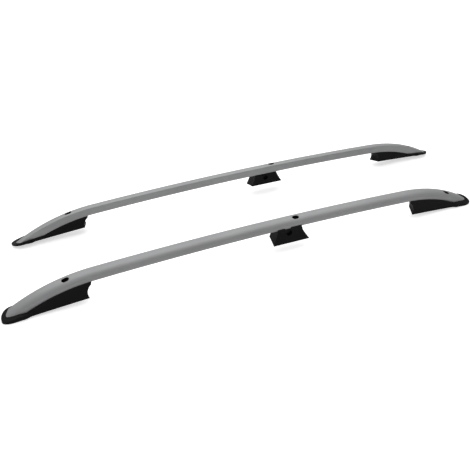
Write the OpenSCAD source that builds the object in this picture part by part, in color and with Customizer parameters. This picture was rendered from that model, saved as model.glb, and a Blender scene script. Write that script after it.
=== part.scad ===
// Roof side rail pair: two mirror-image hollow rails for the sides of a vehicle
// roof, each bent down at both ends and carried on three moulded feet.
// X runs along the rails with the front end at -X, Y runs across, Z is up.
// Each rail is drawn about its own centre, inner wall at y = 0, outer side at -y.

/* [Rail tube] */
// width of the tube, inner wall to outer side
tube_w = 44; // [42:1:46]
// height of the tube, underside to top
tube_h = 33; // [32:1:36]
// thickness of the tube wall
tube_wall = 2; // [1.6:0.2:2.6]
// radius of the two crisp corners of the inner wall
inner_corner_r = 2.5; // [2.2:0.1:4]
// large radius where the top rolls over to the outer side
shoulder_r = 25; // [22:0.5:27]
// radius under the outer side
under_r = 4; // [3:0.5:6]
// radius of the gentle crown along the rail
crown_r = 14000; // [13500:100:14500]
// half of the angle that the crown turns through
crown_half_a = 2.7; // [2.6:0.1:2.8]
// height of the tube's underside above the lowest point, at mid length
crown_z = 101; // [99:1:103]
// radius of the two end bends, at the underside
end_r = 635; // [630:5:640]
// distance from the end of the crown to the tip of the nose
end_run = 340.5; // [338:0.5:343]

/* [Rail holes] */
// distance of the front fixing hole from the front tip
hole_front = 238; // [220:1:250]
// distance of the middle fixing hole behind mid length
hole_middle = 146; // [140:1:152]
// distance of the rear fixing hole from the rear tip
hole_rear = 122; // [118:1:135]
// distance of every hole from the inner wall
hole_u = 21; // [20:0.5:23]
// length of the open, oblong access holes in the top of the tube
access_l = 28; // [24:1:32]
// width of these holes
access_w = 20; // [18:0.5:22]
// radius of the holes that the fixing bolts pass through
bolt_r = 4.5; // [4.2:0.1:5]

/* [Roof line] */
// rise of the roof from the tips to mid length
roof_rise = 38.2; // [37:0.2:39]
// slope of the roof down towards the outer side, in degrees
cant = 13; // [12:0.5:14]
// distance from the inner wall at which the roof line is at its datum height
datum_u = 50; // [48:0.5:51]

/* [Feet] */
// thickness of the foot walls
foot_wall = 3; // [2.5:0.5:4]
// thickness of the stiffening ribs inside the feet
rib_t = 2.5; // [2:0.5:3]
// distance of the foot's outer lower edge from the rail's inner wall
foot_out = 54; // [52:0.5:55]
// the same at the height of the rail's top, where the side face has leaned in
foot_top_out = 44.8; // [44.6:0.1:46]
// distance of the foot's inner lower edge from the rail's inner wall
foot_in = 1.5; // [0.5:0.5:3]
// height by which the foot's outer lip stands up beside the tube
lip_h = 3; // [2:0.5:4]
// length of the end feet at the roof, along their outer edge
end_foot_l = 309; // [305:1:315]
// slant of the inner end of the end feet, seen from above, in degrees
end_slant = 14; // [10:1:18]
// lean of that end over the roof, in degrees
end_lean = 14; // [10:1:16]
// depth of the waist in the inner end of the end feet
waist_d = 9; // [6:1:12]
// radius of that waist
waist_r = 45; // [42:1:60]
// distance of the waist from the roof, measured up that end
waist_up = 30; // [26:1:34]
// number of ribs across each end foot
rib_n = 4; // [3:1:5]
// distance from the tip at which the hollow of the end feet starts
hollow_x = 100; // [95:1:110]
// radius of the bosses around the fixing sleeves
boss_r = 11; // [10:0.5:12]
// thickness of the floor under the end of the tube
floor_t = 4; // [3:0.5:5]

/* [Nose rim] */
// distance of the nose tip from the rail's inner wall
tip_u = 39; // [36:1:42]
// distance of the rim's outer edge from the rail's inner wall
rim_out = 57; // [55:0.5:59]
// distance by which the rim stands inside the rail's inner wall
rim_in = 5; // [3:0.5:6]
// length over which the nose rounds on its outer side
nose_out_l = 40; // [34:1:48]
// length over which the nose rounds on its inner side
nose_in_l = 75; // [65:1:80]
// distance from the tip at which the outer side of the rim ends
rim_out_l = 80; // [70:1:90]
// distance from the tip at which the inner side of the rim ends
rim_in_l = 78; // [76:1:85]
// height of the rim's top edge at the tip, on the inner wall's line
rim_tip_z = 16; // [14:0.5:18]
// height of the rim's top edge where it levels out, on the inner wall's line
rim_top_z = 30.5; // [28:0.5:33]
// distance from the tip at which the rim levels out
rim_level_l = 60; // [50:1:70]
// slope of the rim's top edge down towards the outer side, in degrees
rim_slope = 9; // [7:0.5:11]

/* [Middle foot] */
// distance of the middle foot's centre behind mid length
mid_c = 119.5; // [118:0.5:121]
// length of the middle foot at the roof
mid_base_l = 158; // [152:1:162]
// length of the middle foot at the rail
mid_top_l = 104; // [100:1:108]
// distance by which its top stands in front of its base
mid_lean = 9; // [6:1:12]
// distance of its outer lower edge from the rail's inner wall
mid_out = 58; // [56:0.5:60]
// distance by which its inner lower edge stands inside the rail's inner wall
mid_in = 8; // [5:0.5:10]
// curve of its hollow ends, 1 is straight
mid_flare = 1.3; // [1:0.1:1.6]
// distance of the round recess from mid length
recess_x = 109; // [107:0.5:110]
// radius of the round recess in each side face
recess_r = 12; // [9:0.5:12.5]
// depth of the round recess
recess_d = 8; // [4:0.5:10]
// height of the recess centre above the roof line's datum
recess_z = 45; // [42:1:46]
// distance of the cross groove from mid length
groove_x = 97; // [94:1:100]
// width of the cross groove in the top of the middle foot
groove_w = 9; // [6:0.5:11]
// depth of that groove
groove_d = 6; // [3:0.5:7]

/* [Pads and fixings] */
// thickness of the rubber pads
pad_t = 2; // [1.5:0.5:3]
// distance by which the pads stay back from the foot's edge
pad_back = 0.5; // [0.2:0.1:1]
// outer radius of the fixing sleeves
sleeve_r = 7; // [6.5:0.5:8]
// radius of the wedge seats inside the tube
seat_r = 9.5; // [8:0.5:10]
// least thickness of the wedge seats
seat_t = 2; // [1.5:0.5:3]
// shank radius of the foot screws
screw_r = 2; // [1.5:0.25:2.5]
// head radius of the foot screws
screw_head_r = 4; // [3.5:0.5:5]
// head height of the foot screws
screw_head_h = 2.5; // [2:0.5:3]
// length of thread that shows inside the tube
screw_end = 3; // [2:0.5:4]
// distance of an end foot's screws from the inner wall
screw_u = 22; // [18:1:26]
// distance of the middle foot's screws behind mid length
mid_screw_x = 129; // [128:0.5:130]

/* [Fits] */
// gap between a foot and the tube
seat_gap = 0.2; // [0.1:0.1:0.5]
// gap around a sleeve
sleeve_gap = 0.2; // [0.1:0.1:0.4]
// gap around a screw
screw_gap = 0.1; // [0.05:0.05:0.3]

/* [Pair] */
// distance between the two inner walls
pair_gap = 390; // [370:1:400]
// distance by which the right rail stands behind the left one
pair_shift = 101; // [80:1:110]

/* [Hidden] */
// half of the rail's length, nose tip to nose tip
half_l = crown_r * sin(crown_half_a) + end_run;
// centre of the end bend, measured from the tip
bend_x = end_run + end_r * sin(crown_half_a);
bend_z = crown_z - crown_r * (1 - cos(crown_half_a)) - end_r * cos(crown_half_a);
// angle of each end bend
end_a = 34;
// distance by which cutting shapes run past what they cut
clear = 20;
far = 200;
// turns of the two screws of an end foot away from upright
screw_a = [8, 20];
// distances of the middle foot's two screws from the inner wall
mid_screw_u = [11, 33];
// height of the middle foot at its outer edge
mid_h = crown_z - roof_rise;
// colours
silver = [0.72, 0.73, 0.74];
black = [0.09, 0.09, 0.1];
rubber = [0.05, 0.05, 0.05];
steel = [0.55, 0.56, 0.58];

function arc(cx, cy, r, a0, a1, n) =
  [for (i = [0:n]) [cx + r * cos(a0 + (a1 - a0) * i / n), cy + r * sin(a0 + (a1 - a0) * i / n)]];

// height of the roof line at a distance d from mid length
function rise(d) = roof_rise * (1 - d * d / (half_l * half_l));

// height of the tube's underside at a distance d from mid length, within the crown
function under(d) = crown_z - crown_r + sqrt(crown_r * crown_r - d * d);

// the same at a distance x from the tip, within the end bend
function end_under(x) = bend_z + sqrt(end_r * end_r - (bend_x - x) * (bend_x - x));

// tube outline drawn t inside its real surface: x is up, y is outwards
module tube_outline(t) {
  polygon(concat(
    arc(inner_corner_r, inner_corner_r, inner_corner_r - t, 180, 270, 2),
    arc(tube_h - inner_corner_r, inner_corner_r, inner_corner_r - t, 270, 360, 2),
    arc(tube_h - shoulder_r, tube_w - shoulder_r, shoulder_r - t, 0, 90, 8),
    arc(under_r, tube_w - under_r, under_r - t, 90, 180, 4)));
}

// moves by whole millimetres, then by thousandths and by the rest, so that long distances stay exact
module place(v) {
  whole = [for (c = v) floor(c)];
  thousandths = [for (c = v - whole) floor(1000 * c) / 1000];
  translate(whole)
    translate(thousandths)
      translate(v - whole - thousandths)
        children();
}

// stretch of tube bent about the y axis, its underside at radius r, from angle a0 on through a
module swept(t, r, a0, a) {
  rotate([90, 0, 0])
    rotate_extrude(angle = a, start = a0, $fn = 256)
      translate([r, 0])
        tube_outline(t);
}

// one end bend in the frame of the whole rail, s is -1 at the front and 1 at the rear;
// its centre lies on the line from the crown's centre to the joint, so both point the same way there
module bend(t, s) {
  place([s * (half_l - bend_x), 0, bend_z])
    swept(t, end_r, s > 0 ? 90 - crown_half_a - end_a : 90 + crown_half_a, end_a);
}

// the whole tube, drawn t inside its real surface
module tube(t) {
  place([0, 0, crown_z - crown_r])
    swept(t, crown_r, 90 - crown_half_a, 2 * crown_half_a);
  bend(t, -1);
  bend(t, 1);
}

// all that lies below the roof line raised by h, from d0 to d1 about mid length; before d0 it goes on level
module under_roof(h, d0, d1, n) {
  translate([0, -datum_u, 0])
    rotate([cant, 0, 0])
      translate([0, 150, 0])
        rotate([90, 0, 0])
          linear_extrude(300)
            polygon(concat(
              [[d0 - far, -far], [d0 - far, rise(d0) + h]],
              [for (i = [0:n]) [d0 + (d1 - d0) * i / n, rise(d0 + (d1 - d0) * i / n) + h]],
              [[d1, -far]]));
}

// the same under an end foot, drawn from its tip
module under_end(h) {
  translate([half_l, 0, 0])
    under_roof(h, -half_l - clear, -half_l + end_foot_l + clear, 4);
}

// places that look at the front or the rear tip with x running inwards
module at_front() {
  translate([-half_l, 0, 0])
    children();
}

module at_rear() {
  mirror([1, 0, 0])
    translate([-half_l, 0, 0])
      children();
}

// solid drum of radius r about the centre of the end bend
module drum(r) {
  translate([bend_x, 50, bend_z])
    rotate([90, 0, 0])
      cylinder(h = 160, r = r, $fn = 256);
}

// screw along the normal of the end bend; g is the gap left around it
module bend_screw(a, g) {
  translate([bend_x, -screw_u, bend_z])
    rotate([0, -a, 0])
      screw_at(end_r, g);
}

// screw with its head under a foot wall whose outside is at height r
module screw_at(r, g) {
  translate([0, 0, r - seat_gap - foot_wall - 1])
    cylinder(h = foot_wall + seat_gap + tube_wall + screw_end + 1, r = screw_r + g, $fn = 24);
  translate([0, 0, r - seat_gap - foot_wall - screw_head_h - screw_gap])
    cylinder(h = screw_head_h, r = screw_head_r, $fn = 24);
}

// upright shaft through everything at x, used for all bolt holes
module shaft(x, r) {
  translate([x, -hole_u, -20])
    cylinder(h = 200, r = r, $fn = 48);
}

module rail() {
  color(silver)
    difference() {
      tube(0);
      tube(tube_wall);
      at_front() end_cuts(hole_front);
      at_rear() end_cuts(hole_rear);
      mid_cuts();
    }
}

// what an end foot's fixings and floor take out of the tube
module end_cuts(x) {
  under_end(pad_t + floor_t + seat_gap);
  shaft(x, bolt_r);
  top_hole(x, end_under(x));
  for (a = screw_a) bend_screw(a, screw_gap);
}

module mid_cuts() {
  shaft(hole_middle, bolt_r);
  top_hole(hole_middle, under(hole_middle));
  mid_screws(screw_gap);
}

// access hole over an underside at height z, cut from inside the tube upwards
module top_hole(x, z) {
  translate([x, -hole_u, z + tube_h / 2 + 1]) {
    translate([(access_w - access_l) / 2, -access_w / 2, 0])
      cube([access_l - access_w, access_w, 60]);
    for (s = [-1, 1])
      translate([s * (access_l - access_w) / 2, 0, 0])
        cylinder(h = 60, d = access_w, $fn = 48);
  }
}

// long block with the leaning side faces of a foot, t inside its walls; inner and outer are its lower edges
module sides(t, x0, x1, inner, outer) {
  translate([x0, 0, 0])
    rotate([90, 0, 90])
      linear_extrude(x1 - x0)
        polygon([[inner - t, -10], [-t - 0.1, 120], [t - foot_top_out, 90], [t - outer, -10]]);
}

module end_sides(t, x0) {
  sides(t, x0, end_foot_l + clear, -foot_in, foot_out);
}

// nose outline seen from above, b inside its edge
module nose_outline(b) {
  n = 10;
  polygon(concat(
    [for (i = [0:n]) let (c = cos(90 * i / n))
      [b + nose_in_l * (1 - pow(c, 1.6)), -tip_u + (tip_u + rim_in - b) * pow(1 - pow(pow(c, 1.6), 1.5), 1 / 1.5)]],
    [[rim_in_l, rim_in - b], [rim_in_l + 12, -foot_in - b], [rim_out_l + 24, b - foot_out + 2],
     [rim_out_l, b - rim_out]],
    [for (i = [n:-1:1])
      [b + nose_out_l * (1 - cos(90 * i / n)), -tip_u - (rim_out - tip_u - b) * sin(90 * i / n)]]));
}

module nose() {
  intersection() {
    translate([0, 0, -10])
      linear_extrude(60)
        nose_outline(0);
    rotate([rim_slope, 0, 0])
      translate([0, 100, 0])
        rotate([90, 0, 0])
          linear_extrude(200)
            polygon([[-10, -40], [-10, rim_tip_z], [0, rim_tip_z], [rim_level_l, rim_top_z],
              [130, rim_top_z], [130, -40]]);
  }
}

// what is cut away beyond the hollow, slanted inner end of an end foot
module beyond_end() {
  translate([end_foot_l, -foot_out, rise(half_l - end_foot_l)])
    rotate([0, 0, end_slant])
      translate([0, 150, 0])
        rotate([90, 0, 0])
          rotate([0, 0, -end_lean]) {
            translate([0, -60, 0])
              cube([90, 180, 300]);
            translate([waist_r - waist_d, waist_up, 0])
              cylinder(h = 300, r = waist_r, $fn = 72);
          }
}

// hollow inside an end foot, open towards the roof
module end_hollow(x) {
  difference() {
    intersection() {
      end_sides(foot_wall, hollow_x);
      drum(end_r - seat_gap - foot_wall);
    }
    translate([-foot_wall, 0, 0])
      beyond_end();
    shaft(x, boss_r);
    for (i = [1:rib_n])
      translate([hollow_x + (end_foot_l - hollow_x) * i / (rib_n + 1), -rim_out, -clear])
        cube([rib_t, rim_out + rim_in, crown_z + 2 * clear]);
  }
}

module end_foot(x) {
  color(black)
    difference() {
      union() {
        intersection() {
          end_sides(0, rim_level_l);
          drum(end_r + lip_h);
        }
        nose();
      }
      difference() {
        translate([half_l, 0, 0])
          bend(-seat_gap, -1);
        under_end(pad_t + floor_t);
      }
      under_end(pad_t);
      beyond_end();
      end_hollow(x);
      shaft(x, sleeve_r + sleeve_gap);
      for (a = screw_a) bend_screw(a, screw_gap);
    }
}

module end_pad(x) {
  color(rubber)
    difference() {
      intersection() {
        union() {
          translate([0, 0, -10])
            linear_extrude(60)
              nose_outline(pad_back);
          end_sides(pad_back, rim_in_l);
        }
        under_end(pad_t);
      }
      under_end(0);
      translate([-pad_back, 0, 0])
        beyond_end();
      shaft(x, sleeve_r + sleeve_gap);
    }
}

module end_sleeve(x) {
  color(steel)
    difference() {
      intersection() {
        shaft(x, sleeve_r);
        drum(end_r - seat_gap);
      }
      under_end(0);
      shaft(x, bolt_r);
    }
}

// wedge seat inside the tube: flat on top, its underside lies on the tube
module end_seat(x) {
  z = bend_z + sqrt(pow(end_r + tube_wall, 2) - pow(bend_x - x - seat_r, 2));
  color(steel)
    difference() {
      translate([x, -hole_u, z - 30])
        cylinder(h = 30 + seat_t, r = seat_r, $fn = 48);
      drum(end_r + tube_wall + seat_gap);
      shaft(x, bolt_r);
    }
}

module end_screws() {
  color(steel)
    for (a = screw_a) bend_screw(a, 0);
}

// half length of the middle foot, s runs from 0 at the rail to 1 at the roof
function mid_half(s) = mid_top_l / 2 + (mid_base_l - mid_top_l) / 2 * pow(s, mid_flare);

// place and height of one point of its ends: side is -1 in front and 1 behind
function mid_x(side, s) = mid_c - mid_lean * (1 - s) + side * mid_half(s);
function mid_z(side, t, s) = under(mid_x(side, 0)) - seat_gap - t - mid_h * s;

// block of the middle foot, t inside its walls
module mid_block(t) {
  n = 7;
  intersection() {
    sides(t, mid_c - mid_base_l, mid_c + mid_base_l, mid_in, mid_out);
    translate([0, 100, 0])
      rotate([90, 0, 0])
        linear_extrude(200)
          polygon(concat(
            [for (i = [0:n]) [mid_x(-1, 1.25 * i / n) + t, mid_z(-1, t, 1.25 * i / n)]],
            [for (i = [n:-1:0]) [mid_x(1, 1.25 * i / n) - t, mid_z(1, t, 1.25 * i / n)]]));
  }
}

module under_mid(h) {
  under_roof(h, mid_c - mid_base_l, mid_c + mid_base_l, 3);
}

// hollow inside the middle foot, which stays solid around its recess and groove
module mid_hollow() {
  difference() {
    mid_block(foot_wall);
    shaft(hole_middle, boss_r);
    translate([groove_x - groove_w / 2 - rib_t, -mid_out, 0])
      cube([recess_x + recess_r - groove_x + groove_w / 2 + 2 * rib_t, mid_out + mid_in, crown_z + clear]);
  }
}

// blind recess in one side face, y is the depth of its floor
module mid_recess(y) {
  translate([recess_x, y, rise(mid_c) + recess_z])
    rotate([90, 0, 0])
      cylinder(h = 30, r = recess_r, $fn = 48);
}

module mid_foot() {
  color(black)
    difference() {
      mid_block(0);
      under_mid(pad_t);
      mid_hollow();
      shaft(hole_middle, sleeve_r + sleeve_gap);
      mid_recess(recess_d - foot_top_out);
      mid_recess(30 - recess_d);
      translate([groove_x - groove_w / 2, -80, under(mid_c) - groove_d])
        cube([groove_w, 100, 30]);
      mid_screws(screw_gap);
    }
}

module mid_pad() {
  color(rubber)
    difference() {
      intersection() {
        mid_block(pad_back);
        under_mid(pad_t);
      }
      under_mid(0);
      shaft(hole_middle, sleeve_r + sleeve_gap);
    }
}

module mid_sleeve() {
  color(steel)
    difference() {
      translate([hole_middle, -hole_u, -20])
        cylinder(h = 20 + under(hole_middle) - seat_gap, r = sleeve_r, $fn = 48);
      under_mid(0);
      shaft(hole_middle, bolt_r);
    }
}

module mid_seat() {
  color(steel)
    difference() {
      translate([hole_middle, -hole_u, under(hole_middle) + tube_wall + seat_gap])
        cylinder(h = seat_t, r = seat_r, $fn = 48);
      shaft(hole_middle, bolt_r);
    }
}

module mid_screws(g) {
  for (u = mid_screw_u)
    translate([mid_screw_x, -u, 0])
      screw_at(under(mid_screw_x), g);
}

module left() {
  translate([-pair_shift / 2, -pair_gap / 2, 0])
    children();
}

module right() {
  translate([pair_shift / 2, pair_gap / 2, 0])
    mirror([0, 1, 0])
      children();
}

module left_rail() {
  left()
    rail();
}

module left_front_foot() {
  left()
    at_front()
      end_foot(hole_front);
}

module left_front_pad() {
  left()
    at_front()
      end_pad(hole_front);
}

module left_front_sleeve() {
  left()
    at_front()
      end_sleeve(hole_front);
}

module left_front_seat() {
  left()
    at_front()
      end_seat(hole_front);
}

module left_front_screws() {
  left()
    at_front()
      end_screws();
}

module left_middle_foot() {
  left()
    mid_foot();
}

module left_middle_pad() {
  left()
    mid_pad();
}

module left_middle_sleeve() {
  left()
    mid_sleeve();
}

module left_middle_seat() {
  left()
    mid_seat();
}

module left_middle_screws() {
  left()
    color(steel)
      mid_screws(0);
}

module left_rear_foot() {
  left()
    at_rear()
      end_foot(hole_rear);
}

module left_rear_pad() {
  left()
    at_rear()
      end_pad(hole_rear);
}

module left_rear_sleeve() {
  left()
    at_rear()
      end_sleeve(hole_rear);
}

module left_rear_seat() {
  left()
    at_rear()
      end_seat(hole_rear);
}

module left_rear_screws() {
  left()
    at_rear()
      end_screws();
}

module right_rail() {
  right()
    rail();
}

module right_front_foot() {
  right()
    at_front()
      end_foot(hole_front);
}

module right_front_pad() {
  right()
    at_front()
      end_pad(hole_front);
}

module right_front_sleeve() {
  right()
    at_front()
      end_sleeve(hole_front);
}

module right_front_seat() {
  right()
    at_front()
      end_seat(hole_front);
}

module right_front_screws() {
  right()
    at_front()
      end_screws();
}

module right_middle_foot() {
  right()
    mid_foot();
}

module right_middle_pad() {
  right()
    mid_pad();
}

module right_middle_sleeve() {
  right()
    mid_sleeve();
}

module right_middle_seat() {
  right()
    mid_seat();
}

module right_middle_screws() {
  right()
    color(steel)
      mid_screws(0);
}

module right_rear_foot() {
  right()
    at_rear()
      end_foot(hole_rear);
}

module right_rear_pad() {
  right()
    at_rear()
      end_pad(hole_rear);
}

module right_rear_sleeve() {
  right()
    at_rear()
      end_sleeve(hole_rear);
}

module right_rear_seat() {
  right()
    at_rear()
      end_seat(hole_rear);
}

module right_rear_screws() {
  right()
    at_rear()
      end_screws();
}

left_rail();
left_front_foot();
left_front_pad();
left_front_sleeve();
left_front_seat();
left_front_screws();
left_middle_foot();
left_middle_pad();
left_middle_sleeve();
left_middle_seat();
left_middle_screws();
left_rear_foot();
left_rear_pad();
left_rear_sleeve();
left_rear_seat();
left_rear_screws();
right_rail();
right_front_foot();
right_front_pad();
right_front_sleeve();
right_front_seat();
right_front_screws();
right_middle_foot();
right_middle_pad();
right_middle_sleeve();
right_middle_seat();
right_middle_screws();
right_rear_foot();
right_rear_pad();
right_rear_sleeve();
right_rear_seat();
right_rear_screws();
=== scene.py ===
# %% [markdown]
# # A pair of roof side rails
# Two long silver tubes run along the sides of a vehicle roof. Each bends down
# at both ends and stands on three black moulded feet. We start from the CAD
# frame, which holds every piece at its true size and place, and give it the
# surfaces that the eye reads: satin metal, grained moulding, rubber, zinc.

# %% Load the frame
import math
import bpy
import bmesh
from mathutils import Matrix, Vector


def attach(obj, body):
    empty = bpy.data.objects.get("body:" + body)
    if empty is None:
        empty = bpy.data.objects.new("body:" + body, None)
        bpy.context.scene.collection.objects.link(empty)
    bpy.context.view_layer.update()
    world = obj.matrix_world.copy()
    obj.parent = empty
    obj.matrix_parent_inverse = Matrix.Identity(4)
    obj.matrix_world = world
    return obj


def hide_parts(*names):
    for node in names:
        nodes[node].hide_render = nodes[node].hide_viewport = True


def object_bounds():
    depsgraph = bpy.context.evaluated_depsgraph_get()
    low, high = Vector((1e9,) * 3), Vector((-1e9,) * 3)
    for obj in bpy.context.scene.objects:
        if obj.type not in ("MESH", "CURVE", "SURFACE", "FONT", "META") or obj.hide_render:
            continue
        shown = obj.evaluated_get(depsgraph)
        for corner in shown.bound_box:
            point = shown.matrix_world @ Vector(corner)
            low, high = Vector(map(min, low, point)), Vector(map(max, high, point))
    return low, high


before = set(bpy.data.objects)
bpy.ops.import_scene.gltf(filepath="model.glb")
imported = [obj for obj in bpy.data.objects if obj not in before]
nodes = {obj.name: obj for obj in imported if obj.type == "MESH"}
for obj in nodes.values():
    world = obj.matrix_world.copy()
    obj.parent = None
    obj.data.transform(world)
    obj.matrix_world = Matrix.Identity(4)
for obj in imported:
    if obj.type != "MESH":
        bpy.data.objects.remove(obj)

cad_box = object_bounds()
scene = bpy.context.scene
print("CAD box in metres:", cad_box)

# %% [markdown]
# ## The sizes that the dressed pieces share
# A tube that follows two arcs needs only a few numbers: the radius of the
# gentle crown, the radius of the end bends and the corner radii of its
# section. They are the same as in the CAD model, here in metres, so a new
# piece lands on the old one without any fitting.

# %% Sizes of the tube
mm = 0.001
TUBE_W, TUBE_H = 44 * mm, 33 * mm
INNER_R, SHOULDER_R, UNDER_R = 2.5 * mm, 25 * mm, 4 * mm
CROWN_R, CROWN_A, CROWN_Z = 14000 * mm, math.radians(2.7), 101 * mm
END_R, END_A, END_RUN = 635 * mm, math.radians(34), 340.5 * mm
HALF_L = CROWN_R * math.sin(CROWN_A) + END_RUN
print("rail length in metres:", round(2 * HALF_L, 4))

# %% [markdown]
# ## Satin metal, grained moulding
# Real surfaces are never one flat value. Extruded and anodised metal has a
# faint cloudiness and very fine lines along its length; injection-moulded
# plastic has a leathery spark-eroded grain; every edge that hands and cloths
# touch is a little brighter, and here that brighter edge colour is also a
# painted highlight along the edges. Each of these effects is used by more than
# one material, so each becomes a node group with named inputs and outputs.

# %% Helpers to wire shader nodes
def add_node(tree, kind, **values):
    """Adds a node and sets its properties or its input defaults by name."""
    node = tree.nodes.new(kind)
    for key, value in values.items():
        if hasattr(node, key):
            setattr(node, key, value)
        else:
            node.inputs[key.replace("_", " ")].default_value = value
    return node


def new_group(name, inputs, outputs):
    """Starts a shader node group with the sockets it shows to a material."""
    tree = bpy.data.node_groups.new(name, "ShaderNodeTree")
    for label, kind, value in inputs:
        socket = tree.interface.new_socket(label, in_out="INPUT", socket_type=kind)
        socket.default_value = value
    for label, kind in outputs:
        tree.interface.new_socket(label, in_out="OUTPUT", socket_type=kind)
    return tree, tree.nodes.new("NodeGroupInput"), tree.nodes.new("NodeGroupOutput")


# %% [markdown]
# ## Cloudiness and grain
# One group makes a slow, soft variation and a fine grain from Noise textures
# on Object coordinates. The grain can be stretched along X, which gives the
# drawn look of an extrusion; with no stretch it is the pebbled skin of a
# moulding. The group gives out plain values, and each material decides what
# they drive.

# %% Group: surface variation
def make_variation_group():
    """Soft clouds and fine grain, both 0 to 1, on Object coordinates."""
    tree, gin, gout = new_group(
        "surface variation",
        [("Cloud Scale", "NodeSocketFloat", 6.0), ("Grain Scale", "NodeSocketFloat", 900.0),
         ("Stretch", "NodeSocketFloat", 1.0)],
        [("Cloud", "NodeSocketFloat"), ("Grain", "NodeSocketFloat")])
    link = tree.links.new
    coord = add_node(tree, "ShaderNodeTexCoord")
    cloud = add_node(tree, "ShaderNodeTexNoise", Detail=3.0, Roughness=0.55)
    link(coord.outputs["Object"], cloud.inputs["Vector"])
    link(gin.outputs["Cloud Scale"], cloud.inputs["Scale"])
    scale = add_node(tree, "ShaderNodeCombineXYZ", Y=1.0, Z=1.0)
    link(gin.outputs["Stretch"], scale.inputs["X"])
    stretched = add_node(tree, "ShaderNodeVectorMath", operation="MULTIPLY")
    link(coord.outputs["Object"], stretched.inputs[0])
    link(scale.outputs["Vector"], stretched.inputs[1])
    grain = add_node(tree, "ShaderNodeTexNoise", Detail=2.0, Roughness=0.5)
    link(stretched.outputs["Vector"], grain.inputs["Vector"])
    link(gin.outputs["Grain Scale"], grain.inputs["Scale"])
    link(cloud.outputs["Fac"], gout.inputs["Cloud"])
    link(grain.outputs["Fac"], gout.inputs["Grain"])
    return tree


VARIATION = make_variation_group()
print("group:", VARIATION.name)

# %% [markdown]
# ## Worn edges with a painted highlight
# Edges catch light because they are rounded and because they are rubbed. Here
# a brighter colour on the edges stands for both: partly rubbed wear, partly a
# painted highlight. The Bevel node compares the normal of a point with the
# average normal around it: on a flat face they agree, near an edge they part.
# One minus their dot product is a mask of the edges, with no extra geometry.

# %% Group: edge mask
EDGE_R = 1.2 * mm


def make_edge_group():
    """Mask of the edges, 0 on flat faces and steeper with Gain; also the rounded normal."""
    tree, gin, gout = new_group(
        "edge wear", [("Gain", "NodeSocketFloat", 6.0)],
        [("Edge", "NodeSocketFloat"), ("Round Normal", "NodeSocketVector")])
    link = tree.links.new
    geometry = add_node(tree, "ShaderNodeNewGeometry")
    rounded = add_node(tree, "ShaderNodeBevel", samples=6)
    rounded.inputs["Radius"].default_value = EDGE_R
    dot = add_node(tree, "ShaderNodeVectorMath", operation="DOT_PRODUCT")
    link(geometry.outputs["Normal"], dot.inputs[0])
    link(rounded.outputs["Normal"], dot.inputs[1])
    away = add_node(tree, "ShaderNodeMath", operation="SUBTRACT")
    away.inputs[0].default_value = 1.0
    link(dot.outputs["Value"], away.inputs[1])
    gain = add_node(tree, "ShaderNodeMath", operation="MULTIPLY", use_clamp=True)
    link(away.outputs["Value"], gain.inputs[0])
    link(gin.outputs["Gain"], gain.inputs[1])
    link(gain.outputs["Value"], gout.inputs["Edge"])
    link(rounded.outputs["Normal"], gout.inputs["Round Normal"])
    return tree


EDGE = make_edge_group()
print("group:", EDGE.name)

# %% [markdown]
# ## One recipe for all finishes
# Every finish here is a Principled shader whose colour, roughness and bump
# are steered by the two groups. A small function builds the recipe, and each
# finish passes its own values: base colour, how much the clouds and the grain
# change it, how deep the grain is. Constants that are the same all over, such
# as the metallic value, sit directly on the shader's own sockets.

# %% Recipe for a finish
NOISE_LOW, NOISE_HIGH = 0.3, 0.7
# The Mix node has several sockets named A, B and Result. These are the colour ones.
MIX_A, MIX_B, MIX_RESULT = 6, 7, 2


def mix_colour(tree, factor, a, b):
    """Mix Color node from colour or socket a to b by a factor socket."""
    node = add_node(tree, "ShaderNodeMix", data_type="RGBA")
    tree.links.new(factor, node.inputs["Factor"])
    for index, value in ((MIX_A, a), (MIX_B, b)):
        if isinstance(value, bpy.types.NodeSocket):
            tree.links.new(value, node.inputs[index])
        else:
            node.inputs[index].default_value = (*value, 1.0)
    return node.outputs[MIX_RESULT]


def map_value(tree, socket, low, high):
    """Maps the usual range of a noise value on to low to high."""
    node = add_node(tree, "ShaderNodeMapRange", From_Min=NOISE_LOW, From_Max=NOISE_HIGH,
                    To_Min=low, To_Max=high)
    tree.links.new(socket, node.inputs["Value"])
    return node.outputs["Result"]


def make_finish(name, dark, light, edge, rough, grain_scale, depth, metallic=0.0, stretch=1.0,
                cloud_scale=6.0, gain=6.0, **sockets):
    """Material with clouds from dark to light, brighter edges as wear and painted highlight, and a
    fine grain bump.
    """
    material = bpy.data.materials.new(name)
    material.use_nodes = True
    tree = material.node_tree
    link = tree.links.new
    shader = tree.nodes["Principled BSDF"]
    shader.inputs["Metallic"].default_value = metallic
    for key, value in sockets.items():
        shader.inputs[key.replace("_", " ")].default_value = value
    variation = add_node(tree, "ShaderNodeGroup", node_tree=VARIATION)
    variation.inputs["Cloud Scale"].default_value = cloud_scale
    variation.inputs["Grain Scale"].default_value = grain_scale
    variation.inputs["Stretch"].default_value = stretch
    wear_and_painted_highlight = add_node(tree, "ShaderNodeGroup", node_tree=EDGE)
    wear_and_painted_highlight.inputs["Gain"].default_value = gain
    clouds = map_value(tree, variation.outputs["Cloud"], 0.0, 1.0)
    body = mix_colour(tree, clouds, dark, light)
    # The edge colour mixed in here is partly rubbed wear and partly a painted highlight.
    link(mix_colour(tree, wear_and_painted_highlight.outputs["Edge"], body, edge), shader.inputs["Base Color"])
    link(map_value(tree, variation.outputs["Grain"], *rough), shader.inputs["Roughness"])
    bump = add_node(tree, "ShaderNodeBump", Strength=1.0, Distance=depth)
    link(variation.outputs["Grain"], bump.inputs["Height"])
    link(wear_and_painted_highlight.outputs["Round Normal"], bump.inputs["Normal"])
    link(bump.outputs["Normal"], shader.inputs["Normal"])
    return material
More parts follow.
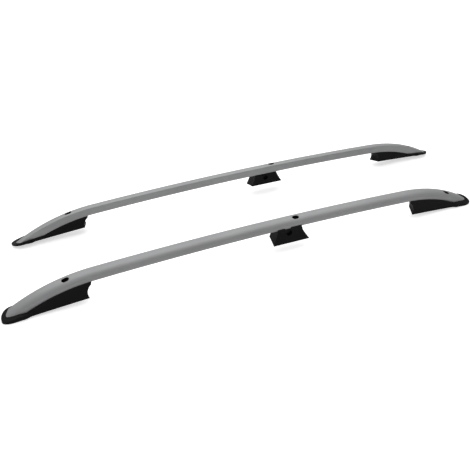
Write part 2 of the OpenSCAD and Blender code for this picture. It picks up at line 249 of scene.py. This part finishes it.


# %% [markdown]
# ## The finishes
# The tube is aluminium with a satin silver coat: half metal, half paint to
# the eye, so it keeps a soft gradient from its bright top to its darker side.
# The mouldings are nearly black with a pebbled grain. Pads are duller and
# rougher. The fixings are zinc-plated steel. The inside of the tube was never
# polished and sees little light, so it is rough and painted near black: painted shade.

# %% Make the finishes
# Each finish's edge colour is brighter than its body: partly wear, partly a painted highlight on
# the edges.
SILVER = make_finish("satin_silver", dark=(0.34, 0.343, 0.347), light=(0.38, 0.383, 0.387),
                     edge=(0.5, 0.505, 0.51), rough=(0.46, 0.56), grain_scale=1400.0,
                     depth=0.02 * mm, metallic=0.3, stretch=0.06, cloud_scale=4.0, gain=2.0,
                     Specular_IOR_Level=0.3)
MOULDED = make_finish("black_moulding", dark=(0.0035, 0.0035, 0.0037),
                      light=(0.0055, 0.0055, 0.0058), edge=(0.02, 0.02, 0.021),
                      rough=(0.45, 0.6), grain_scale=1100.0, depth=0.06 * mm, cloud_scale=9.0,
                      Specular_IOR_Level=0.12)
RUBBER = make_finish("black_rubber", dark=(0.004, 0.004, 0.004), light=(0.008, 0.008, 0.008),
                     edge=(0.015, 0.015, 0.015), rough=(0.7, 0.85), grain_scale=700.0,
                     depth=0.05 * mm, Specular_IOR_Level=0.1)
ZINC = make_finish("zinc_steel", dark=(0.32, 0.33, 0.35), light=(0.45, 0.46, 0.48),
                   edge=(0.6, 0.6, 0.62), rough=(0.3, 0.45), grain_scale=900.0, depth=0.02 * mm,
                   metallic=0.9, cloud_scale=60.0)
# Near black on the inner walls: painted shade for the hollow, on a rougher surface.
SHADED_INSIDE = make_finish("tube_inside_painted_shade", dark=(0.012, 0.012, 0.012), light=(0.02, 0.02, 0.02),
                     edge=(0.05, 0.05, 0.05), rough=(0.6, 0.75), grain_scale=1400.0,
                     depth=0.02 * mm, stretch=0.06, cloud_scale=4.0, Specular_IOR_Level=0.2)
FINISH_OF = {"foot": MOULDED, "pad": RUBBER, "sleeve": ZINC, "seat": ZINC, "screws": ZINC}
for name, piece in nodes.items():
    kind = name.split("_")[-1]
    if kind in FINISH_OF:
        piece.data.materials.clear()
        piece.data.materials.append(FINISH_OF[kind])
print("finishes on CAD nodes:", sum(n.split("_")[-1] in FINISH_OF for n in nodes))

# %% [markdown]
# ## The section of the tube
# On the real rail the inner wall is flat with crisp corners, the top is
# nearly flat, and the outer side rolls over in one large radius. We draw it
# as a maker would: a rectangle whose corners are rounded one by one. Bevel
# with affect set to VERTICES rounds a corner of a flat face, and a profile of
# 0.5 makes the rounding a true quarter circle.

# %% Draw the section
# Each corner: up or down, outer or inner side, radius, segments.
CORNERS = ((-1, -1, INNER_R, 4), (1, -1, INNER_R, 4), (1, 1, SHOULDER_R, 14), (-1, 1, UNDER_R, 5))


def round_corners(bm, corners, radius, steps):
    """Rounds corners of a flat face."""
    bmesh.ops.bevel(bm, geom=corners, offset=radius, offset_type="OFFSET", segments=steps,
                    profile=0.5, affect="VERTICES", material=-1)


def tube_section(bm, grow=0.0):
    """Wire loop of the tube's outside at mid length, grown all round: y is across, z is up."""
    corners = bmesh.ops.create_grid(bm, x_segments=1, y_segments=1, size=0.5)["verts"]
    bmesh.ops.rotate(bm, verts=corners, matrix=Matrix.Rotation(math.radians(90), 3, "Y"))
    bmesh.ops.scale(bm, verts=corners, vec=(1, TUBE_W + 2 * grow, TUBE_H + 2 * grow))
    bmesh.ops.translate(bm, verts=corners, vec=(0, -TUBE_W / 2, CROWN_Z + TUBE_H / 2))
    for up, out, radius, steps in CORNERS:
        corner = max(bm.verts, key=lambda v: up * v.co.z - out * v.co.y)
        round_corners(bm, [corner], radius, steps)
    bmesh.ops.delete(bm, geom=bm.faces[:], context="FACES_ONLY")
    return bm.edges[:]


# %% [markdown]
# ## Sweep it along two arcs
# A rail bender rolls the crown first and then draws the ends round a former.
# Spin does the same: the section turns about the crown's centre, and the last
# loop that Spin returns turns on about the centre of the end bend. Both
# centres lie on one line through the joint, so the surface stays smooth.

# %% Sweep the tube
CROWN_STEPS, END_STEPS, WELD = 12, 26, 0.001 * mm


def spin(bm, edges, centre, axis, angle, steps):
    """Turns edges about a centre and returns the edges of the last loop."""
    result = bmesh.ops.spin(bm, geom=edges, cent=centre, axis=axis, dvec=(0, 0, 0), angle=angle,
                            steps=steps, use_merge=False, use_duplicate=False)
    return [e for e in result["geom_last"] if isinstance(e, bmesh.types.BMEdge)]


def sweep_tube(bm, section):
    """Spins the section both ways: crown first, then the end bend."""
    crown = Vector((0, 0, CROWN_Z - CROWN_R))
    for way in (-1, 1):
        axis = Vector((0, way, 0))
        joint = Vector((way * math.sin(CROWN_A), 0, math.cos(CROWN_A)))
        bend = crown + joint * (CROWN_R - END_R)
        loop = spin(bm, section, crown, axis, CROWN_A, CROWN_STEPS)
        spin(bm, loop, bend, axis, END_A, END_STEPS)
    bmesh.ops.remove_doubles(bm, verts=bm.verts, dist=WELD)


# %% [markdown]
# ## Cut the ends square to the roof
# Both ends stand in the noses of the feet, a few millimetres above the roof,
# which slopes down to the outer side. Its line along the rail is a shallow
# parabola. Bisect Plane slices the skin along the roof and clears what lies
# beyond, as a saw would.

# %% Cut along the roof
ROOF_RISE, CANT, DATUM_U = 38.2 * mm, math.radians(13), 50 * mm
END_CHORD, END_REACH, ON_PLANE = 80 * mm, 300 * mm, 1e-7


def roof_height(d):
    """Height of the roof line at a distance d from mid length."""
    return ROOF_RISE * (1 - (d / HALF_L) ** 2)


def roof_plane(way, lift, tilt=0.0, rise=0.0, pivot=DATUM_U):
    """Point and normal of the roof plane at one end, raised by lift.

    Tilt turns it about the rail's length at pivot, rise adds to its slope towards mid length."""
    inner, outer = HALF_L - END_CHORD, HALF_L
    slope = (roof_height(inner) - roof_height(outer)) / (outer - inner) + rise
    normal = Matrix.Rotation(CANT + tilt, 3, "X") @ Vector((way * slope, 0, 1)).normalized()
    level = Matrix.Rotation(CANT, 3, "X") @ Vector((0, DATUM_U - pivot, lift))
    return Vector((way * outer, -DATUM_U, 0)) + level, normal


def cut_end(bm, way, lift):
    """Slices one end along the roof line raised by lift.

    A dict lists each face and edge once and in the same order on every run, as a set doesn't."""
    point, normal = roof_plane(way, lift)
    near = [v for v in bm.verts if v.co.x * way > HALF_L - END_REACH]
    faces = list(dict.fromkeys(f for v in near for f in v.link_faces))
    edges = list(dict.fromkeys(e for f in faces for e in f.edges))
    bmesh.ops.bisect_plane(bm, geom=faces + edges + near, dist=ON_PLANE,
                           plane_co=point, plane_no=normal, clear_inner=True)


# %% [markdown]
# ## One drawing for two rails
# Each new piece is drawn once, for the left rail: X runs along it from mid
# length, its outer side looks to -Y, and Z counts from the lowest point of the
# roof under it. A matrix then moves the drawing to its place in the row and
# mirrors it for the right rail. A mirrored shape comes out inside out, and a
# Boolean trusts the normals, so they are worked out again there.

# %% From a drawing to a piece
PAIR_GAP, PAIR_SHIFT = 390 * mm, 101 * mm


def rail_to_row(side):
    """Matrix from a rail's own centre to the row frame. The right rail is a mirror image."""
    hand = 1 if side == "left" else -1
    place = Matrix.Translation((-hand * PAIR_SHIFT / 2, -hand * PAIR_GAP / 2, 0))
    return place @ Matrix.Diagonal((1, hand, 1, 1))


def to_row(bm, side):
    """Puts a closed shape in its place in the row, with its normals outward."""
    bm.transform(rail_to_row(side))
    bm.normal_update()
    bmesh.ops.recalc_face_normals(bm, faces=bm.faces)


def new_piece(name, bm, *materials):
    """Makes an object of the scene from a bmesh, and frees the bmesh."""
    mesh = bpy.data.meshes.new(name)
    for material in materials:
        mesh.materials.append(material)
    bm.to_mesh(mesh)
    bm.free()
    piece = bpy.data.objects.new(name, mesh)
    scene.collection.objects.link(piece)
    return piece


# %% [markdown]
# ## Give the tube its wall
# So far the tube is a skin without thickness. Solidify gives it its 2 mm wall,
# inwards, if the skin's normals point outward, so they are checked on the top
# faces first. The new inner faces get the near-black inside colour, painted shade.

# %% Give the wall
TUBE_WALL, TUBE_LIFT = 2 * mm, 6.2 * mm


def build_tube(side):
    """The bent tube with its wall, in the row frame, before its holes."""
    bm = bmesh.new()
    sweep_tube(bm, tube_section(bm))
    for way in (-1, 1):
        cut_end(bm, way, TUBE_LIFT)
    bmesh.ops.recalc_face_normals(bm, faces=bm.faces)
    top = [f for f in bm.faces if f.calc_center_median().z > CROWN_Z + TUBE_H * 0.9]
    if sum(f.normal.z * f.calc_area() for f in top) < 0:
        bmesh.ops.reverse_faces(bm, faces=bm.faces)
    outer_skin = set(bm.faces)
    bmesh.ops.solidify(bm, geom=bm.faces[:], thickness=TUBE_WALL)
    # Inner faces take slot 1, the painted shade of the hollow.
    for face in bm.faces:
        face.material_index = 0 if face in outer_skin else 1
    to_row(bm, side)
    return new_piece(side + "_tube", bm, SILVER, SHADED_INSIDE)


rails = {side: build_tube(side) for side in ("left", "right")}
for rail in rails.values():
    print(rail.name, len(rail.data.polygons), "faces")

# %% [markdown]
# ## A plug for each hole
# A punch opens an oblong hole in the top wall over each foot, and a drill of
# 9 mm goes through the bottom wall under it. Boolean will do both with plugs
# that are thrown away afterwards. A plug is a rectangle whose four corners are
# rounded until they meet, pulled up by Extrude.

# %% Plugs
HOLE_U, PLUG_STEPS, PLUG_ROUND, PLUG_WELD = 21 * mm, 14, 0.4999, 0.01 * mm


def flat_face(bm, length, width):
    """Adds a flat face round the origin and returns its corners."""
    corners = bmesh.ops.create_grid(bm, x_segments=1, y_segments=1, size=0.5)["verts"]
    bmesh.ops.scale(bm, verts=corners, vec=(length, width, 1))
    return corners


def pull_up(bm, height):
    """Makes the flat face a block."""
    wall = bmesh.ops.extrude_face_region(bm, geom=bm.faces[:])["geom"]
    bmesh.ops.translate(bm, verts=[v for v in wall if isinstance(v, bmesh.types.BMVert)],
                        vec=(0, 0, height))


def cutter(side, d, low, high, length, width):
    """Throw-away plug with round ends for an oblong or round hole from low to high."""
    bm = bmesh.new()
    corners = flat_face(bm, length, width)
    round_corners(bm, corners, width * PLUG_ROUND, PLUG_STEPS)
    bmesh.ops.remove_doubles(bm, verts=bm.verts, dist=PLUG_WELD)
    pull_up(bm, high - low)
    bmesh.ops.translate(bm, verts=bm.verts, vec=(d, -HOLE_U, low))
    to_row(bm, side)
    return new_piece("cutter", bm)


# %% [markdown]
# ## Cut and join with Boolean
# A modifier leaves the mesh as it was and shows its result on top. We write
# the result into the mesh at once, so the piece holds its true shape and the
# tool can go. The exact solver also copes with faces that nearly touch.

# %% Write modifiers into the mesh
def apply_modifiers(piece):
    """Writes a piece's modifiers into its mesh."""
    bpy.context.view_layer.update()
    graph = bpy.context.evaluated_depsgraph_get()
    mesh = bpy.data.meshes.new_from_object(piece.evaluated_get(graph))
    piece.modifiers.clear()
    piece.data = mesh


def combine(piece, tool, operation):
    """Applies one exact Boolean to a piece."""
    boolean = piece.modifiers.new("combine", "BOOLEAN")
    boolean.object, boolean.operation, boolean.solver = tool, operation, "EXACT"
    apply_modifiers(piece)


# %% [markdown]
# ## Drill the holes
# The upper plug starts inside the tube, so it leaves the bottom wall alone.
# After drilling, the tube is shaded smooth, while edges that turn by more than
# 35 degrees stay crisp, such as the rims of the holes and the cut ends.

# %% Drill and smooth
HOLES = (-HALF_L + 238 * mm, 146 * mm, HALF_L - 122 * mm)
ACCESS_L, ACCESS_W, ACCESS_TOP = 28 * mm, 20 * mm, 70 * mm
BOLT_W, BOLT_LOW, BOLT_TOP = 9 * mm, -20 * mm, 10 * mm
CREASE = math.radians(35)


def underside(d):
    """Height of the tube's underside at a distance d from mid length."""
    joint = HALF_L - END_RUN
    if abs(d) <= joint:
        return CROWN_Z - CROWN_R + math.sqrt(CROWN_R ** 2 - d ** 2)
    centre = joint - END_R * math.sin(CROWN_A)
    height = CROWN_Z - CROWN_R * (1 - math.cos(CROWN_A)) - END_R * math.cos(CROWN_A)
    return height + math.sqrt(END_R ** 2 - (abs(d) - centre) ** 2)


def drill(piece, side):
    """Cuts the three access holes and the three bolt holes."""
    for d in HOLES:
        z = underside(d)
        for plug in ((z + TUBE_H / 2, z + ACCESS_TOP, ACCESS_L, ACCESS_W),
                     (z + BOLT_LOW, z + BOLT_TOP, BOLT_W, BOLT_W)):
            tool = cutter(side, d, *plug)
            combine(piece, tool, "DIFFERENCE")
            bpy.data.objects.remove(tool)


def smooth(piece):
    """Shades a piece smooth, except at edges that turn by more than a crease."""
    piece.data.shade_smooth()
    piece.data.set_sharp_from_angle(angle=CREASE)


for side, rail in rails.items():
    drill(rail, side)
    smooth(rail)
    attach(rail, "root")
    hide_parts(side + "_rail")
    print(rail.name, "after drilling:", len(rail.data.polygons), "faces")

# %% [markdown]
# ## Blocks that follow the roof
# The nose of an end foot lies on the roof, so the block for its rim is a
# rounded outline, pulled up and sliced by two planes that follow the roof.
# The tube without its hollow, a hair larger, will cut its own seat in it.

# %% Make the blocks
RIM_LOW, RIM_HIGH, RIM_TILT, RIM_RISE = 2.2 * mm, 11.5 * mm, math.radians(4), 0.05
RIM_INNER, RIM_STEPS, BLOCK_Z, BLOCK_H = -5 * mm, 10, -20 * mm, 120 * mm
TOOL_GROW, TOOL_LIFT = 0.1 * mm, 6 * mm


def close_holes(bm):
    """Fills every open edge loop with a face."""
    bmesh.ops.holes_fill(bm, edges=[e for e in bm.edges if e.is_boundary], sides=0)


def roof_block(name, side, way, start, end, u_in, u_out, rounds, inset=0.0):
    """Block between two roof planes; start and end count from the tip.

    The radii in rounds are for tip inside, tip outside, far end inside and far end outside."""
    bm = bmesh.new()
    corners = flat_face(bm, end - start, u_out - u_in)
    middle = (way * (HALF_L - (start + end) / 2), -(u_in + u_out) / 2, BLOCK_Z)
    bmesh.ops.translate(bm, verts=corners, vec=middle)
    for (tip, inside), radius in zip(((1, 1), (1, -1), (-1, 1), (-1, -1)), rounds):
        if radius:
            corner = max(bm.verts, key=lambda v: tip * way * v.co.x + inside * v.co.y)
            round_corners(bm, [corner], radius, RIM_STEPS)
    pull_up(bm, BLOCK_H)
    for lift, tilt, rise, below in ((RIM_LOW + inset, 0.0, 0.0, True),
                                    (RIM_HIGH - inset, RIM_TILT, RIM_RISE, False)):
        point, normal = roof_plane(way, lift, tilt, rise, RIM_INNER)
        bmesh.ops.bisect_plane(bm, geom=bm.verts[:] + bm.edges[:] + bm.faces[:], dist=ON_PLANE,
                               plane_co=point, plane_no=normal, clear_inner=below,
                               clear_outer=not below)
        close_holes(bm)
    to_row(bm, side)
    return new_piece(name, bm)


def full_tube(side):
    """The tube without its hollow, to be taken out of a rim."""
    bm = bmesh.new()
    sweep_tube(bm, tube_section(bm, TOOL_GROW))
    for way in (-1, 1):
        cut_end(bm, way, TOOL_LIFT)
    close_holes(bm)
    to_row(bm, side)
    return new_piece("full_tube", bm)


# %% [markdown]
# ## A rim round each tip
# Each end of the tube dips into a rim that runs all round it, also on the
# inner side, where a thin strip carries it on along the wall. The strip's top
# and bottom are set in a little, because a Boolean has no clear answer where
# two faces lie in one plane.

# %% Rim of the end feet
RIM = dict(start=0.1 * mm, end=85 * mm, u_in=RIM_INNER, u_out=50 * mm,
           rounds=(40 * mm, 14 * mm, 4.5 * mm, 0))
STRIP = dict(start=60 * mm, end=135 * mm, u_in=-1.6 * mm, u_out=1 * mm,
             rounds=(0, 0, 1 * mm, 0), inset=0.3 * mm)

for side in ("left", "right"):
    tube = full_tube(side)
    for way, end_name in ((-1, "front"), (1, "rear")):
        rim = roof_block(side + "_" + end_name + "_rim", side, way, **RIM)
        strip = roof_block("strip", side, way, **STRIP)
        combine(rim, strip, "UNION")
        combine(rim, tube, "DIFFERENCE")
        bpy.data.objects.remove(strip)
        rim.data.materials.clear()
        rim.data.materials.append(MOULDED)
        smooth(rim)
        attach(rim, "root")
        size = [round(v, 4) for v in rim.dimensions]
        print(rim.name, len(rim.data.polygons), "faces,", size, "m")
    bpy.data.objects.remove(tube)

# %% [markdown]
# ## A lip beside the tube
# The middle foot holds the tube from below and laps a few millimetres up its
# outer side, with a notch over its round recess. The lip starts as a flat
# grid. Each of its points is then moved by rule: the lower edge follows the
# rim of the recess and the upper edge dips at the notch. Solidify makes the
# sheet a wall and a small bevel breaks its edges.

# %% Lip of the middle foot
LIP_U, LIP_T, LIP_COLUMNS, LIP_ROWS = 45.6 * mm, 1.4 * mm, 112, 6
LIP_LOW, LIP_HIGH = 88.5 * mm, 107 * mm
LIP_FOOT, LIP_HEAD = (56.5 * mm, 168.2 * mm), (58 * mm, 161.8 * mm)
NOTCH, NOTCH_Z = (91 * mm, 116 * mm), 100 * mm
RECESS_D, RECESS_Z, RECESS_R = 109 * mm, 82.7 * mm, 12.2 * mm
ROUND_W, ROUND_STEPS, ROUND_LIMIT = 0.3 * mm, 2, math.radians(50)


def lip_edges(d):
    """Heights of the lip's lower and upper edge at a distance d from mid length."""
    reach = RECESS_R ** 2 - (d - RECESS_D) ** 2
    low = max(LIP_LOW, RECESS_Z + math.sqrt(reach)) if reach > 0 else LIP_LOW
    return low, (NOTCH_Z if NOTCH[0] < d < NOTCH[1] else LIP_HIGH)


def build_lip(side):
    """Thin wall on the middle foot's outer side, beside the tube."""
    bm = bmesh.new()
    bmesh.ops.create_grid(bm, x_segments=LIP_COLUMNS, y_segments=LIP_ROWS, size=0.5)
    for vert in bm.verts:
        across, up = vert.co.x + 0.5, vert.co.y + 0.5
        low, high = lip_edges(LIP_HEAD[0] + across * (LIP_HEAD[1] - LIP_HEAD[0]))
        start, end = (foot + up * (head - foot) for foot, head in zip(LIP_FOOT, LIP_HEAD))
        vert.co = (start + across * (end - start), -LIP_U, low + up * (high - low))
    bmesh.ops.recalc_face_normals(bm, faces=bm.faces)
    sheet = bm.faces[:]
    if sheet[0].normal.y > 0:
        bmesh.ops.reverse_faces(bm, faces=sheet)
    bmesh.ops.solidify(bm, geom=sheet, thickness=LIP_T)
    to_row(bm, side)
    return new_piece(side + "_middle_lip", bm)


for side in ("left", "right"):
    lip = build_lip(side)
    bevel = lip.modifiers.new("edges", "BEVEL")
    bevel.width, bevel.segments, bevel.angle_limit = ROUND_W, ROUND_STEPS, ROUND_LIMIT
    apply_modifiers(lip)
    lip.data.materials.append(MOULDED)
    smooth(lip)
    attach(lip, "root")
    print(lip.name, len(lip.data.polygons), "faces, from", [round(v, 4) for v in lip.bound_box[0]])

# %% [markdown]
# ## Floor, backdrop and light
# A product photograph on white has a floor and a backdrop that clip to white
# and a broad, soft light from above. The floor is pale, and for rays that
# come from the camera it adds a little light of its own, so it reads as white
# paper but keeps the soft shadow of the feet.

# %% Floor
FLOOR_HALF, FLOOR_GAP, PAPER, GLOW = 12.0, 0.5 * mm, 0.86, 0.6


def make_floor_material():
    """Pale paper that reads as white to the camera and keeps shadows."""
    material = bpy.data.materials.new("white_paper")
    material.use_nodes = True
    tree = material.node_tree
    shader = tree.nodes["Principled BSDF"]
    shader.inputs["Base Color"].default_value = (PAPER, PAPER, PAPER, 1)
    shader.inputs["Roughness"].default_value = 0.9
    shader.inputs["Specular IOR Level"].default_value = 0.1
    path = add_node(tree, "ShaderNodeLightPath")
    glow = mix_colour(tree, path.outputs["Is Camera Ray"], (0, 0, 0), (GLOW, GLOW, GLOW))
    tree.links.new(glow, shader.inputs["Emission Color"])
    shader.inputs["Emission Strength"].default_value = 1.0
    return material


floor_z = cad_box[0][2] - FLOOR_GAP
floor_bm = bmesh.new()
bmesh.ops.create_grid(floor_bm, x_segments=1, y_segments=1, size=FLOOR_HALF)
bmesh.ops.translate(floor_bm, verts=floor_bm.verts, vec=(0, 0, floor_z))
floor = new_piece("floor", floor_bm, make_floor_material())
print("floor at", round(floor_z, 5))

# %% [markdown]
# ## A white world
# The world shines from every side. The camera sees it at full strength, so
# the backdrop is pure white. For all other rays a third of that is enough to
# fill the shadows, and a Light Path node tells the two apart.

# %% World
fill, backdrop = 0.32, 1.0
world = bpy.data.worlds.new("studio")
scene.world = world
world.use_nodes = True
tree = world.node_tree
background = tree.nodes["Background"]
path = add_node(tree, "ShaderNodeLightPath")
strength = add_node(tree, "ShaderNodeMapRange", To_Min=fill, To_Max=backdrop)
tree.links.new(path.outputs["Is Camera Ray"], strength.inputs["Value"])
tree.links.new(strength.outputs["Result"], background.inputs["Strength"])
background.inputs["Color"].default_value = (1, 1, 1, 1)
print("world:", world.name, "backdrop", backdrop, "fill", fill)

# %% [markdown]
# ## Lamps
# One large softbox hangs over the pair and lights the tops. A faint one above
# the camera gives the fronts a soft gloss; the world lights the sides.

# %% Lamps
def softbox(name, place, aim, size, watts):
    """Square area lamp at place that looks at aim."""
    lamp = bpy.data.lights.new(name, "AREA")
    lamp.shape = "SQUARE"
    lamp.size = size
    lamp.energy = watts
    holder = bpy.data.objects.new(name, lamp)
    holder.location = place
    holder.rotation_euler = (Vector(aim) - Vector(place)).to_track_quat("-Z", "Y").to_euler()
    scene.collection.objects.link(holder)
    print(name, watts, "W")


softbox("top_softbox", place=(0.0, 0.8, 2.6), aim=(0, 0, 0), size=5.0, watts=98)
softbox("front_softbox", place=(-1.4, -2.6, 2.4), aim=(0, 0, 0.05), size=2.0, watts=3)

# %% [markdown]
# ## Camera
# The photograph was taken from the front left, about 1.6 m up, with a normal
# lens. The numbers come from matching the outlines of both rails: turn, tilt
# and roll in radians, and a focal length of 690 pixels across 470.

# %% Camera
lens_pixels, picture, sensor = 690.0, 470.0, 36.0
stand = Vector((-1.0100, -2.21312, 1.60328))
turn, tilt, roll = 0.4015, -0.6004, -0.0056
camera = bpy.data.cameras.new("camera")
camera.sensor_width = sensor
camera.sensor_fit = "HORIZONTAL"
camera.lens = sensor * lens_pixels / picture
camera.clip_end = 50.0
eye = bpy.data.objects.new("camera", camera)
eye.matrix_world = (Matrix.Translation(stand) @ Matrix.Rotation(-turn, 4, "Z")
                    @ Matrix.Rotation(math.pi / 2 + tilt, 4, "X") @ Matrix.Rotation(roll, 4, "Z"))
scene.collection.objects.link(eye)
scene.camera = eye
scene.view_settings.view_transform = "Standard"
print("lens in millimetres:", round(camera.lens, 2))
